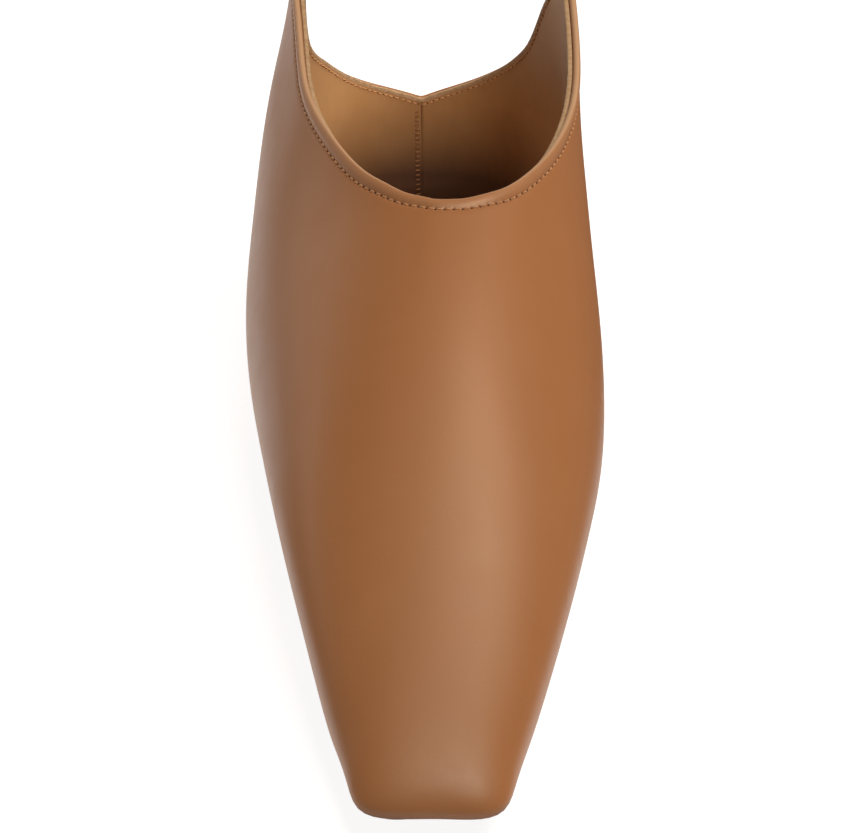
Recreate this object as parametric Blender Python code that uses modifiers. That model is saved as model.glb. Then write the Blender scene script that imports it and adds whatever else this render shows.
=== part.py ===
"""Slingback pump for a right foot, at its real size.

A hollow leather upper stands on a thin leather outsole with a low stacked heel. Its toe is long and
square, its throat is deep and round, and its quarters rise behind the throat into a sling strap that
passes behind the ankle. Below the strap, an open window leaves a low counter with a dipped edge.

Frame: +Z up, toe towards -Y, big-toe side towards +X. The origin is on the floor, under the middle of
the flat forefoot tread. "Station" always means the distance behind the toe tip.
"""
from collections import namedtuple

import bmesh
import bpy
import numpy as np

# ---- driving sizes, in metres ----
LENGTH = 0.2920          # toe tip to the back of the heel
BALL_WIDTH = 0.0800      # across the ball of the foot
THROAT_HEIGHT = 0.0666   # floor to the top edge at the front of the throat
HEEL_RISE = 0.0068       # how much higher the heel sits than the forefoot
TOE_SPRING = 0.0012      # how much higher the toe tip sits than the forefoot
BALL_STATION = 0.1080    # station of the origin

WALL = 0.0020            # leather and lining together
SOLE = 0.0027            # outsole thickness
SOLE_AT_TOE = 0.0016     # outsole thickness at the toe tip
TOE_TAPER = 0.0300       # station where the outsole reaches its full thickness
INSOLE = 0.0018          # insole thickness
TOP_LIFT = 0.0030        # rubber tread under the heel
SEAT_GAP = 0.0003        # gap between two pieces that rest on each other

STRAP_WIDTH = 0.0095     # sling strap
WINDOW_TIP = 0.0024      # height of the window at its front end
WINDOW_REACH = 0.0500    # distance from the centre back to the window's front end, along the feather line
NECK = 0.0120            # last leg of a rib, which ends at the top edge

SOLE_INSET = 0.0006      # outsole edge, inside the feather line
INSOLE_INSET = 0.0025    # insole edge, inside the feather line
HEEL_INSET = 0.0010      # heel edge at its top, inside the feather line
HEEL_TAPER = 0.0015      # how much further inside it is at the floor
HEEL_BREAST = 0.2360     # station of the heel's front face

RIB_STEPS = 3            # mesh columns from one rib to the next
EVEN_LOW = 0.50          # where the window's two edge rows lie on the ribs ahead of the window,
EVEN_HIGH = 0.72         # from 0 at the feather line to 1 at the top edge
LOWER_ROWS = 6           # mesh rows from the feather line to the counter's edge
WINDOW_ROWS = 2          # mesh rows across the window
UPPER_ROWS = 5           # mesh rows from the window to the top edge
SOLE_COLUMNS = 5         # mesh columns across a sole
OUTLINE_POINTS = 720     # points on an outline before it is cut into stations
END_TRIM = 0.0003        # a sole's first and last station stand this far inside its outline
TOE_TURN = 0.0120        # length of the closely spaced stations at the toe
HEEL_TURN = 0.0360       # and at the heel
TOE_STATIONS = 5         # stations of a sole in its toe turn
MIDDLE_STATIONS = 20     # between the two turns
HEEL_STATIONS = 10       # and in its heel turn
BREAST_STATIONS = 12     # stations of a heel piece
HEEL_SPLIT = 0.60        # share of the heel's taper above the joint with the top lift
RIB_SAMPLES = 101        # points on a rib where its heights are looked up
CREASE = np.radians(40)  # edges of a plate that turn by more than this stay sharp

# One row for each rib of the upper, in the order heel back, outer side, toe, inner side.
# A rib rises from the feather line, where upper and sole meet, to the top edge.
#   foot_x, foot_s     its foot: across in ball widths, station in lengths
#   belly, low         how far its belly stands outside the foot, in ball widths, and how high above
#                      the foot, in throat heights
#   wall, rise         the same for its wall, higher up
#   crown, lean        how far its middle lies above a straight line, in throat heights, and towards
#                      the inner side of it, in ball widths
#   top_x, top_s, top_z   its top: ball widths, lengths and throat heights
Rib = namedtuple("Rib", "foot_x foot_s belly low wall rise crown lean top_x top_s top_z")
RIBS = (
    Rib(-0.0140, 0.9830, 0.0650, 0.230, 0.0440, 0.5100, 0.0000, 0.0000, -0.0140, 0.9810, 1.500),   # centre back
    Rib(-0.2190, 0.9640, 0.0650, 0.230, 0.0500, 0.5100, 0.0000, 0.0000, -0.2470, 0.9610, 1.503),
    Rib(-0.3560, 0.9110, 0.0432, 0.230, 0.0472, 0.5100, 0.0543, -0.0044, -0.3764, 0.9110, 1.503),
    Rib(-0.4000, 0.8360, 0.0747, 0.230, 0.1032, 0.5100, 0.1320, -0.0126, -0.4379, 0.8360, 1.462),   # window's front
    Rib(-0.4220, 0.7500, 0.1112, 0.240, 0.1383, 0.5400, 0.1212, -0.0128, -0.4187, 0.7538, 1.352),
    Rib(-0.4420, 0.6640, 0.1249, 0.230, 0.1305, 0.5100, 0.0952, 0.0031, -0.3902, 0.6837, 1.222),   # waist
    Rib(-0.4680, 0.5750, 0.0929, 0.200, 0.1006, 0.4500, 0.0513, 0.0044, -0.3390, 0.6207, 1.129),
    Rib(-0.4800, 0.4860, 0.0338, 0.170, 0.0692, 0.3900, 0.0563, -0.0128, -0.2263, 0.5514, 1.050),   # outer ball
    Rib(-0.4220, 0.3840, 0.0200, 0.140, 0.0824, 0.3416, 0.0583, -0.0281, -0.1292, 0.5147, 1.021),
    Rib(-0.3380, 0.2670, 0.0140, 0.110, 0.1054, 0.3055, 0.0466, -0.0166, -0.0596, 0.4977, 1.006),
    Rib(-0.2572, 0.1509, 0.0093, 0.070, 0.1010, 0.2573, 0.0079, -0.0023, -0.0009, 0.4895, 1.002),
    Rib(-0.1857, 0.0657, 0.0308, 0.040, 0.0635, 0.1858, -0.0268, 0.0009, 0.0233, 0.4865, 1.000),
    Rib(-0.1306, 0.0263, 0.0703, 0.032, 0.0226, 0.1512, -0.0431, -0.0062, 0.0293, 0.4863, 1.000),   # outer toe corner
    Rib(-0.1125, 0.0145, 0.0928, 0.028, -0.0135, 0.1441, -0.0479, -0.0237, 0.0312, 0.4862, 1.000),
    Rib(0.0200, 0.0122, 0.1033, 0.026, 0.0365, 0.1312, -0.0574, -0.0528, 0.0437, 0.4859, 1.000),   # middle of the toe
    Rib(0.1361, 0.0189, 0.1169, 0.028, 0.0123, 0.1391, -0.0481, -0.0748, 0.0615, 0.4858, 1.000),
    Rib(0.1636, 0.0273, 0.0640, 0.032, 0.0346, 0.1428, -0.0456, -0.0878, 0.0684, 0.4859, 1.000),   # inner toe corner
    Rib(0.2197, 0.0641, 0.0163, 0.040, 0.0681, 0.1770, -0.0354, -0.0796, 0.0908, 0.4863, 1.000),
    Rib(0.2975, 0.1532, 0.0111, 0.070, 0.0923, 0.2421, -0.0201, -0.0294, 0.1365, 0.4896, 1.003),
    Rib(0.3840, 0.2670, 0.0223, 0.110, 0.0832, 0.2882, 0.0056, 0.0159, 0.1882, 0.4962, 1.009),
    Rib(0.4740, 0.3840, 0.0181, 0.140, 0.0394, 0.3330, 0.0234, 0.0332, 0.2648, 0.5137, 1.021),   # inner ball
    Rib(0.4650, 0.4790, 0.0489, 0.170, 0.0670, 0.3900, 0.0125, 0.0210, 0.3625, 0.5539, 1.059),
    Rib(0.4060, 0.5680, 0.1100, 0.200, 0.1185, 0.4500, 0.0165, 0.0129, 0.4401, 0.6092, 1.123),
    Rib(0.3690, 0.6610, 0.1389, 0.230, 0.1290, 0.5100, 0.0220, 0.0125, 0.4794, 0.6788, 1.218),   # arch
    Rib(0.3630, 0.7500, 0.1180, 0.240, 0.1172, 0.5400, 0.0074, 0.0016, 0.4857, 0.7592, 1.352),
    Rib(0.3750, 0.8360, 0.0920, 0.230, 0.1280, 0.5100, 0.0000, 0.0000, 0.4720, 0.8360, 1.462),   # window's front
    Rib(0.3440, 0.9110, 0.0690, 0.230, 0.0750, 0.5100, 0.0000, 0.0000, 0.4040, 0.9110, 1.503),
    Rib(0.2150, 0.9640, 0.0650, 0.230, 0.0500, 0.5100, 0.0000, 0.0000, 0.2430, 0.9610, 1.503),
)

# The feather line from the side: station in lengths, shares of the toe spring and of the heel's rise.
SideSection = namedtuple("SideSection", "station spring rise")
SIDE = (
    SideSection(-0.03, 1.30, 0.00),
    SideSection(0.00, 1.00, 0.00),
    SideSection(0.07, 0.55, 0.00),
    SideSection(0.19, 0.11, 0.00),
    SideSection(0.29, 0.00, 0.00),
    SideSection(0.45, 0.00, 0.00),
    SideSection(0.57, 0.00, 0.15),
    SideSection(0.69, 0.00, 0.50),
    SideSection(0.81, 0.00, 0.86),
    SideSection(0.90, 0.00, 1.00),
    SideSection(1.03, 0.00, 1.09),
)

# The counter's top edge: distance from the centre back along the feather line, as a share of the
# window's reach, and its height in metres on each side. At the full reach it meets the window's tip.
EdgePoint = namedtuple("EdgePoint", "share outer inner")
COUNTER_EDGE = (
    EdgePoint(0.00, 0.0440, 0.0440),
    EdgePoint(0.33, 0.0509, 0.0519),
    EdgePoint(0.66, 0.0611, 0.0648),
    EdgePoint(0.86, 0.0689, 0.0802),
)

PARTS = "slingback_pump"


# ---- scene, materials and mesh helpers ----
def clear_scene():
    for item in list(bpy.data.objects):
        bpy.data.objects.remove(item)


def material(name, colour, roughness, metallic=0.0):
    made = bpy.data.materials.new(name)
    made.use_nodes = True
    shader = made.node_tree.nodes["Principled BSDF"]
    shader.inputs["Base Color"].default_value = (*colour, 1.0)
    shader.inputs["Roughness"].default_value = roughness
    shader.inputs["Metallic"].default_value = metallic
    return made


def add_object(name, mesh_data, finish):
    made = bpy.data.objects.new(name, mesh_data)
    made.data.materials.append(finish)
    made.data.shade_smooth()
    bpy.data.collections[PARTS].objects.link(made)
    return made


def mesh_from_quads(name, points, quads):
    """A mesh with its normals made consistent and pointing out."""
    shape = bmesh.new()
    corners = [shape.verts.new(point) for point in points]
    for quad in quads:
        shape.faces.new([corners[index] for index in quad])
    bmesh.ops.recalc_face_normals(shape, faces=shape.faces)
    data = bpy.data.meshes.new(name)
    shape.to_mesh(data)
    shape.free()
    return data


# ---- curves ----
def smooth_through(known_x, known_y, x):
    """A smooth curve through known points that never swings past them (monotone cubic)."""
    known_x, known_y = np.asarray(known_x, float), np.asarray(known_y, float)
    gap = np.diff(known_x)
    grade = np.diff(known_y) / gap
    slope = np.zeros_like(known_x)
    slope[0], slope[-1] = grade[0], grade[-1]
    for i in range(1, len(known_x) - 1):
        if grade[i - 1] * grade[i] > 0:
            ahead, behind = 2 * gap[i] + gap[i - 1], gap[i] + 2 * gap[i - 1]
            slope[i] = (ahead + behind) / (ahead / grade[i - 1] + behind / grade[i])
    k = np.clip(np.searchsorted(known_x, x) - 1, 0, len(known_x) - 2)
    t = (x - known_x[k]) / gap[k]
    return (
        (1 + 2 * t) * (1 - t) ** 2 * known_y[k]
        + t * (1 - t) ** 2 * gap[k] * slope[k]
        + t * t * (3 - 2 * t) * known_y[k + 1]
        + t * t * (t - 1) * gap[k] * slope[k + 1]
    )


def loop_through(points, knots, at):
    """A closed cubic spline through points. knots holds where each lies, and then the full length."""
    count = len(points)
    gap = np.diff(knots)
    system = np.zeros((count, count))
    right = np.zeros((count, points.shape[1]))
    for i in range(count):
        after = (i + 1) % count
        system[i, i - 1] += gap[i - 1]
        system[i, i] += 2 * (gap[i - 1] + gap[i])
        system[i, after] += gap[i]
        right[i] = 6 * ((points[after] - points[i]) / gap[i] - (points[i] - points[i - 1]) / gap[i - 1])
    bend = np.linalg.solve(system, right)
    at = np.mod(at, knots[-1])
    k = np.clip(np.searchsorted(knots, at, side="right") - 1, 0, count - 1)
    after = (k + 1) % count
    span = gap[k][:, None]
    done, left = (at - knots[k])[:, None], (knots[k + 1] - at)[:, None]
    return (
        (bend[k] * left**3 + bend[after] * done**3) / (6 * span)
        + (points[k] / span - bend[k] * span / 6) * left
        + (points[after] / span - bend[after] * span / 6) * done
    )


def spline_weights(count, t):
    """Weights of the control points of a clamped cubic B-spline, one row for each value of t."""
    degree = 3
    inner = np.linspace(0, 1, count - degree + 1)
    knots = np.concatenate([[0] * degree, inner, [1] * degree])
    t = np.clip(np.asarray(t, float), 0, 1 - 1e-9)
    weights = [((t >= a) & (t < b)).astype(float) for a, b in zip(knots[:-1], knots[1:])]
    for order in range(1, degree + 1):
        raised = []
        for i in range(len(weights) - 1):
            rising = knots[i + order] - knots[i]
            falling = knots[i + order + 1] - knots[i + 1]
            weight = np.zeros_like(t)
            if rising > 0:
                weight = weight + (t - knots[i]) / rising * weights[i]
            if falling > 0:
                weight = weight + (knots[i + order + 1] - t) / falling * weights[i + 1]
            raised.append(weight)
        weights = raised
    return np.array(weights).T


# ---- the last's shape ----
def feather_height(station):
    """Height of the feather line above the floor."""
    known = [row.station * LENGTH for row in SIDE]
    lift = [SOLE + SEAT_GAP + row.spring * TOE_SPRING + row.rise * HEEL_RISE for row in SIDE]
    return smooth_through(known, lift, station)


def feather_line():
    """The ribs' feet in plan, where each lies along the closed feather line, and its length."""
    feet = np.array([(row.foot_x * BALL_WIDTH, row.foot_s * LENGTH) for row in RIBS])
    steps = np.linalg.norm(np.roll(feet, -1, axis=0) - feet, axis=1)
    return feet, np.concatenate([[0.0], np.cumsum(steps)])


def outward(feet, knots, at):
    """Unit normals that point out of the feather line, in plan."""
    step = 1e-4
    along = loop_through(feet, knots, at + step) - loop_through(feet, knots, at - step)
    along /= np.linalg.norm(along, axis=1)[:, None]
    return np.column_stack([along[:, 1], -along[:, 0]])


def rib_controls(at):
    """Control points of the ribs at places along the feather line, as [control, rib, xyz]."""
    feet, knots = feather_line()
    out = outward(feet, knots, knots[:-1])
    rows = np.array(RIBS)
    belly, low, wall, rise, crown, lean = rows[:, 2:8].T
    base = feather_height(feet[:, 1])

    def beside(share, height):
        return np.column_stack([feet + out * (share * BALL_WIDTH)[:, None], base + height])

    foot = np.column_stack([feet, base])
    bulge = beside(belly, low * THROAT_HEIGHT)
    side = beside(wall, rise * THROAT_HEIGHT)
    top = rows[:, 8:11] * (BALL_WIDTH, LENGTH, THROAT_HEIGHT)
    leg = side - top
    last = top + leg / np.linalg.norm(leg, axis=1)[:, None] * NECK
    middle = (side + last) / 2
    middle[:, 2] += crown * THROAT_HEIGHT
    middle[:, 0] += lean * BALL_WIDTH
    return np.array([loop_through(row, knots, at) for row in (foot, bulge, side, middle, last, top)])


def rib_points(controls, t):
    """Points at t along each rib; t holds one row for each mesh row and one column for each rib."""
    weights = spline_weights(len(controls), t.ravel()).reshape(*t.shape, len(controls))
    return np.einsum("rnc,cnk->rnk", weights, controls)


def t_at_height(controls, heights):
    """Where each rib reaches a height, from 0 at its foot to 1 at its top."""
    t = np.linspace(0, 1, RIB_SAMPLES)
    levels = rib_points(controls, np.repeat(t[:, None], controls.shape[1], axis=1))[:, :, 2]
    return np.array([np.interp(h, levels[:, i], t) for i, h in enumerate(heights)])


# ---- upper ----
def counter_edge(share, outer_side, tip):
    """Height of the counter's top edge; tip is its height at the window's front end."""
    known = [point.share for point in COUNTER_EDGE] + [1.0]
    outer = [point.outer for point in COUNTER_EDGE] + [tip]
    inner = [point.inner for point in COUNTER_EDGE] + [tip]
    share = np.minimum(share, 1.0)
    return np.where(outer_side, smooth_through(known, outer, share), smooth_through(known, inner, share))


def window_edges(signed, controls):
    """t of the window's lower and upper edge on each rib, and which ribs cross the window.

    signed is a rib's distance from the centre back along the feather line, positive on the outer side.
    Ahead of the window both edges go on, and fan out evenly over the ribs.
    """
    share = np.abs(signed) / WINDOW_REACH
    strap_edge = controls[-1, :, 2] - STRAP_WIDTH
    front = np.argmin(np.abs(signed - WINDOW_REACH))
    edge = counter_edge(share, signed >= 0, strap_edge[front] - WINDOW_TIP)
    low, high = t_at_height(controls, edge), t_at_height(controls, strap_edge)
    tip = t_at_height(controls, strap_edge - WINDOW_TIP)
    fan = np.clip(share - 1, 0, 1)
    fan = fan * fan * (3 - 2 * fan)
    ahead = share > 1 + 1e-6
    low = np.where(ahead, tip + (EVEN_LOW - tip) * fan, low)
    high = np.where(ahead, high + (EVEN_HIGH - high) * fan, high)
    return low, high, ~ahead


def rib_places():
    """Places along the feather line, and the same as signed distances from the centre back.

    They are every rib of the table and RIB_STEPS - 1 between two, with the two that lie nearest the
    window's front ends moved onto them.
    """
    knots = feather_line()[1]
    index = np.arange(len(RIBS) * RIB_STEPS) / RIB_STEPS
    at = np.interp(index, np.arange(len(knots)), knots)
    signed = np.where(at > knots[-1] / 2, at - knots[-1], at)
    for reach in (WINDOW_REACH, -WINDOW_REACH):
        signed[np.argmin(np.abs(signed - reach))] = reach
    return np.mod(signed, knots[-1]), signed


def make_upper(finish):
    at, signed = rib_places()
    controls = rib_controls(at)
    low, high, in_window = window_edges(signed, controls)
    rows = [low * k / LOWER_ROWS for k in range(LOWER_ROWS)]
    rows += [low + (high - low) * k / WINDOW_ROWS for k in range(WINDOW_ROWS)]
    rows += [high + (1 - high) * k / UPPER_ROWS for k in range(UPPER_ROWS + 1)]
    points = rib_points(controls, np.array(rows))
    count = points.shape[1]

    quads = []
    for r in range(len(rows) - 1):
        across_window = LOWER_ROWS <= r < LOWER_ROWS + WINDOW_ROWS
        for i in range(count):
            j = (i + 1) % count
            if across_window and in_window[i] and in_window[j]:
                continue
            quads.append((r * count + i, r * count + j, (r + 1) * count + j, (r + 1) * count + i))
    points = points.reshape(-1, 3) - (0.0, BALL_STATION, 0.0)
    used = sorted({index for quad in quads for index in quad})
    renumber = {old: new for new, old in enumerate(used)}
    quads = [[renumber[index] for index in quad] for quad in quads]

    upper = add_object("upper", mesh_from_quads("upper", points[used], quads), finish)
    shell = upper.modifiers.new("wall", "SOLIDIFY")
    shell.thickness = WALL
    shell.offset = -1.0
    shell.use_even_offset = True
    return upper


# ---- insole, outsole, heel ----
def inset_outline(inset):
    """The feather line moved inwards, as many points (x, station)."""
    feet, knots = feather_line()
    at = np.linspace(0, knots[-1], OUTLINE_POINTS, endpoint=False)
    return loop_through(feet, knots, at) - outward(feet, knots, at) * inset


def edges_at(outline, stations):
    """x of the outline's outer and inner side at each station."""
    toe, heel = np.argmin(outline[:, 1]), np.argmax(outline[:, 1])
    ring = np.roll(outline, -heel, axis=0)
    split = (toe - heel) % len(ring)
    outer, inner = ring[: split + 1][::-1], ring[split:]
    return [np.interp(stations, side[:, 1], side[:, 0]) for side in (outer, inner)]


def spread_stations(front, back, blunt_front=False):
    """Stations from front to back, closer together where the outline turns."""
    if blunt_front:
        turn = np.sin(np.linspace(0, np.pi / 2, BREAST_STATIONS))
        return front + (back - front) * turn
    toe_turn = front + TOE_TURN * (1 - np.cos(np.linspace(0, np.pi / 2, TOE_STATIONS)))
    heel_turn = back - HEEL_TURN * (1 - np.sin(np.linspace(0, np.pi / 2, HEEL_STATIONS)))
    middle = np.linspace(toe_turn[-1], heel_turn[0], MIDDLE_STATIONS + 2)[1:-1]
    return np.concatenate([toe_turn, middle, heel_turn])


def make_plate(name, stations, top_edges, bottom_edges, top, bottom, finish):
    """A closed plate: at each station it spans two edges, between its top and its bottom height."""
    count = SOLE_COLUMNS + 1
    points = []
    for edges, height in ((top_edges, top), (bottom_edges, bottom)):
        for station, left, right, z in zip(stations, edges[0], edges[1], height):
            for x in np.linspace(left, right, count):
                points.append((x, station - BALL_STATION, z))
    layer = len(stations) * count

    def ring(offset):
        first = [offset + c for c in range(count)]
        right = [offset + s * count + count - 1 for s in range(1, len(stations) - 1)]
        last = [offset + layer - 1 - c for c in range(count)]
        left = [offset + s * count for s in range(len(stations) - 2, 0, -1)]
        return first + right + last + left

    quads = []
    for offset in (0, layer):
        for s in range(len(stations) - 1):
            for c in range(SOLE_COLUMNS):
                a = offset + s * count + c
                quads.append((a, a + 1, a + count + 1, a + count))
    upper_ring, lower_ring = ring(0), ring(layer)
    for k in range(len(upper_ring)):
        n = (k + 1) % len(upper_ring)
        quads.append((upper_ring[k], upper_ring[n], lower_ring[n], lower_ring[k]))
    made = add_object(name, mesh_from_quads(name, points, quads), finish)
    made.data.set_sharp_from_angle(angle=CREASE)
    return made


def make_sole_plate(name, inset, toe_thickness, thickness, lift, finish):
    """A plate that follows the whole feather line; its top is lift above it."""
    outline = inset_outline(inset)
    stations = spread_stations(outline[:, 1].min() + END_TRIM, outline[:, 1].max() - END_TRIM)
    edges = edges_at(outline, stations)
    top = feather_height(stations) + lift
    depth = smooth_through([0.0, TOE_TAPER, LENGTH], [toe_thickness, thickness, thickness], stations)
    return make_plate(name, stations, edges, edges, top, top - depth, finish)


def make_heel_piece(name, top_inset, bottom_inset, top, bottom, finish):
    """A plate behind the heel breast, as wide at top and bottom as the two insets leave it."""
    outlines = [inset_outline(inset) for inset in (top_inset, bottom_inset)]
    back = min(outline[:, 1].max() for outline in outlines) - END_TRIM
    stations = spread_stations(HEEL_BREAST, back, blunt_front=True)
    edges = [edges_at(outline, stations) for outline in outlines]
    level = np.ones_like(stations)
    return make_plate(name, stations, edges[0], edges[1], top(stations) * level, bottom * level, finish)


def make_heel(stack, rubber):
    """The stacked heel under the outsole, and its top lift on the floor."""
    split = HEEL_TAPER * HEEL_SPLIT
    make_heel_piece(
        "heel", HEEL_INSET, HEEL_INSET + split,
        lambda station: feather_height(station) - SOLE - 2 * SEAT_GAP,
        TOP_LIFT + SEAT_GAP, stack,
    )
    make_heel_piece(
        "top_lift", HEEL_INSET + split, HEEL_INSET + HEEL_TAPER,
        lambda station: TOP_LIFT, 0.0, rubber,
    )


def main():
    clear_scene()
    parts = bpy.data.collections.new(PARTS)
    bpy.context.scene.collection.children.link(parts)
    tan_leather = material("tan_leather", (0.376, 0.162, 0.065), 0.45)
    lining_leather = material("lining_leather", (0.42, 0.22, 0.10), 0.60)
    sole_leather = material("sole_leather", (0.30, 0.15, 0.07), 0.50)
    stacked_leather = material("stacked_leather", (0.20, 0.09, 0.04), 0.45)
    black_rubber = material("black_rubber", (0.03, 0.025, 0.02), 0.70)
    make_upper(tan_leather)
    make_sole_plate("insole", INSOLE_INSET, INSOLE, INSOLE, INSOLE, lining_leather)
    make_sole_plate("outsole", SOLE_INSET, SOLE_AT_TOE, SOLE, -SEAT_GAP, sole_leather)
    make_heel(stacked_leather, black_rubber)


main()
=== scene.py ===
"""A tan leather slingback pump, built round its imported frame.

The leather skin, the lining and every edge follow the same ribs that gave the frame its upper, so all
of them share one set of named sizes. Lengths are in metres. "Station" is the distance behind the toe.
"""

from collections import namedtuple

import bpy
import numpy as np
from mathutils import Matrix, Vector


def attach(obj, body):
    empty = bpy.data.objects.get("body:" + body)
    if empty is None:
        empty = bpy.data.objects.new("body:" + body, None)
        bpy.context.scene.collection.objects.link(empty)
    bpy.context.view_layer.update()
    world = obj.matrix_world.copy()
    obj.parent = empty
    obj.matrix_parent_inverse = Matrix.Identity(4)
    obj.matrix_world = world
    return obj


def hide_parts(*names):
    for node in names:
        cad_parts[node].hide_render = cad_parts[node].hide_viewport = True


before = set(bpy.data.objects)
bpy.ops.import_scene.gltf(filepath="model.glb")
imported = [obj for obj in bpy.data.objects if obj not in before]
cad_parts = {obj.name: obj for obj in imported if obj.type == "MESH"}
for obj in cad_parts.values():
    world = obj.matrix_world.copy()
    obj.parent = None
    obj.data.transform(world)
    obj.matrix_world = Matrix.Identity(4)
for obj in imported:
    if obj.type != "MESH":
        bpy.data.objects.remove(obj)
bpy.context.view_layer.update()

MM = 0.001

# ---- the frame's own sizes ----
LENGTH = 0.2920
BALL_WIDTH = 0.0800
THROAT_HEIGHT = 0.0666
HEEL_RISE = 0.0068
TOE_SPRING = 0.0012
BALL_STATION = 0.1080
SOLE = 0.0027
SEAT_GAP = 0.0003
STRAP_WIDTH = 0.0095
WINDOW_TIP = 0.0024  # height of the window at its front ends
WINDOW_REACH = 0.0500  # from the centre back to those ends, along the feather line
NECK = 0.0120  # from the last control point to the one before it
EVEN_LOW, EVEN_HIGH = 0.50, 0.72  # t of the rows that pass the window, well ahead of it

# Widths are shares of BALL_WIDTH, stations of LENGTH and heights of THROAT_HEIGHT. The ribs start at the
# centre back and go round by the outer side.
Rib = namedtuple("Rib", "foot_x foot_s belly low wall rise crown lean top_x top_s top_z")
RIBS = [Rib(*row) for row in (
    # centre back
    (-0.0140, 0.9830, 0.0650, 0.230, 0.0440, 0.5100, 0.0000, 0.0000, -0.0140, 0.9810, 1.500),
    (-0.2190, 0.9640, 0.0650, 0.230, 0.0500, 0.5100, 0.0000, 0.0000, -0.2470, 0.9610, 1.503),
    (-0.3560, 0.9110, 0.0432, 0.230, 0.0472, 0.5100, 0.0543, -0.0044, -0.3764, 0.9110, 1.503),
    # window's front
    (-0.4000, 0.8360, 0.0747, 0.230, 0.1032, 0.5100, 0.1320, -0.0126, -0.4379, 0.8360, 1.462),
    (-0.4220, 0.7500, 0.1112, 0.240, 0.1383, 0.5400, 0.1212, -0.0128, -0.4187, 0.7538, 1.352),
    # waist
    (-0.4420, 0.6640, 0.1249, 0.230, 0.1305, 0.5100, 0.0952, 0.0031, -0.3902, 0.6837, 1.222),
    (-0.4680, 0.5750, 0.0929, 0.200, 0.1006, 0.4500, 0.0513, 0.0044, -0.3390, 0.6207, 1.129),
    # outer ball
    (-0.4800, 0.4860, 0.0338, 0.170, 0.0692, 0.3900, 0.0563, -0.0128, -0.2263, 0.5514, 1.050),
    (-0.4220, 0.3840, 0.0200, 0.140, 0.0824, 0.3416, 0.0583, -0.0281, -0.1292, 0.5147, 1.021),
    (-0.3380, 0.2670, 0.0140, 0.110, 0.1054, 0.3055, 0.0466, -0.0166, -0.0596, 0.4977, 1.006),
    (-0.2572, 0.1509, 0.0093, 0.070, 0.1010, 0.2573, 0.0079, -0.0023, -0.0009, 0.4895, 1.002),
    (-0.1857, 0.0657, 0.0308, 0.040, 0.0635, 0.1858, -0.0268, 0.0009, 0.0233, 0.4865, 1.000),
    # outer toe corner
    (-0.1306, 0.0263, 0.0703, 0.032, 0.0226, 0.1512, -0.0431, -0.0062, 0.0293, 0.4863, 1.000),
    (-0.1125, 0.0145, 0.0928, 0.028, -0.0135, 0.1441, -0.0479, -0.0237, 0.0312, 0.4862, 1.000),
    # middle of the toe
    (0.0200, 0.0122, 0.1033, 0.026, 0.0365, 0.1312, -0.0574, -0.0528, 0.0437, 0.4859, 1.000),
    (0.1361, 0.0189, 0.1169, 0.028, 0.0123, 0.1391, -0.0481, -0.0748, 0.0615, 0.4858, 1.000),
    # inner toe corner
    (0.1636, 0.0273, 0.0640, 0.032, 0.0346, 0.1428, -0.0456, -0.0878, 0.0684, 0.4859, 1.000),
    (0.2197, 0.0641, 0.0163, 0.040, 0.0681, 0.1770, -0.0354, -0.0796, 0.0908, 0.4863, 1.000),
    (0.2975, 0.1532, 0.0111, 0.070, 0.0923, 0.2421, -0.0201, -0.0294, 0.1365, 0.4896, 1.003),
    (0.3840, 0.2670, 0.0223, 0.110, 0.0832, 0.2882, 0.0056, 0.0159, 0.1882, 0.4962, 1.009),
    # inner ball
    (0.4740, 0.3840, 0.0181, 0.140, 0.0394, 0.3330, 0.0234, 0.0332, 0.2648, 0.5137, 1.021),
    (0.4650, 0.4790, 0.0489, 0.170, 0.0670, 0.3900, 0.0125, 0.0210, 0.3625, 0.5539, 1.059),
    (0.4060, 0.5680, 0.1100, 0.200, 0.1185, 0.4500, 0.0165, 0.0129, 0.4401, 0.6092, 1.123),
    # arch
    (0.3690, 0.6610, 0.1389, 0.230, 0.1290, 0.5100, 0.0220, 0.0125, 0.4794, 0.6788, 1.218),
    (0.3630, 0.7500, 0.1180, 0.240, 0.1172, 0.5400, 0.0074, 0.0016, 0.4857, 0.7592, 1.352),
    # window's front
    (0.3750, 0.8360, 0.0920, 0.230, 0.1280, 0.5100, 0.0000, 0.0000, 0.4720, 0.8360, 1.462),
    (0.3440, 0.9110, 0.0690, 0.230, 0.0750, 0.5100, 0.0000, 0.0000, 0.4040, 0.9110, 1.503),
    (0.2150, 0.9640, 0.0650, 0.230, 0.0500, 0.5100, 0.0000, 0.0000, 0.2430, 0.9610, 1.503),
)]
# the feather line from the side: stations as shares of LENGTH, then shares of TOE_SPRING and HEEL_RISE
SIDE_STATION = (-0.03, 0.00, 0.07, 0.19, 0.29, 0.45, 0.57, 0.69, 0.81, 0.90, 1.03)
SIDE_SPRING = (1.30, 1.00, 0.55, 0.11, 0.00, 0.00, 0.00, 0.00, 0.00, 0.00, 0.00)
SIDE_RISE = (0.00, 0.00, 0.00, 0.00, 0.00, 0.00, 0.15, 0.50, 0.86, 1.00, 1.09)
# the counter's top edge: shares of the way to the window's front ends, then heights in metres
EDGE_SHARE = (0.00, 0.33, 0.66, 0.86, 1.0)
EDGE_OUTER = (0.0440, 0.0509, 0.0611, 0.0689)
EDGE_INNER = (0.0440, 0.0519, 0.0648, 0.0802)

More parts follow.
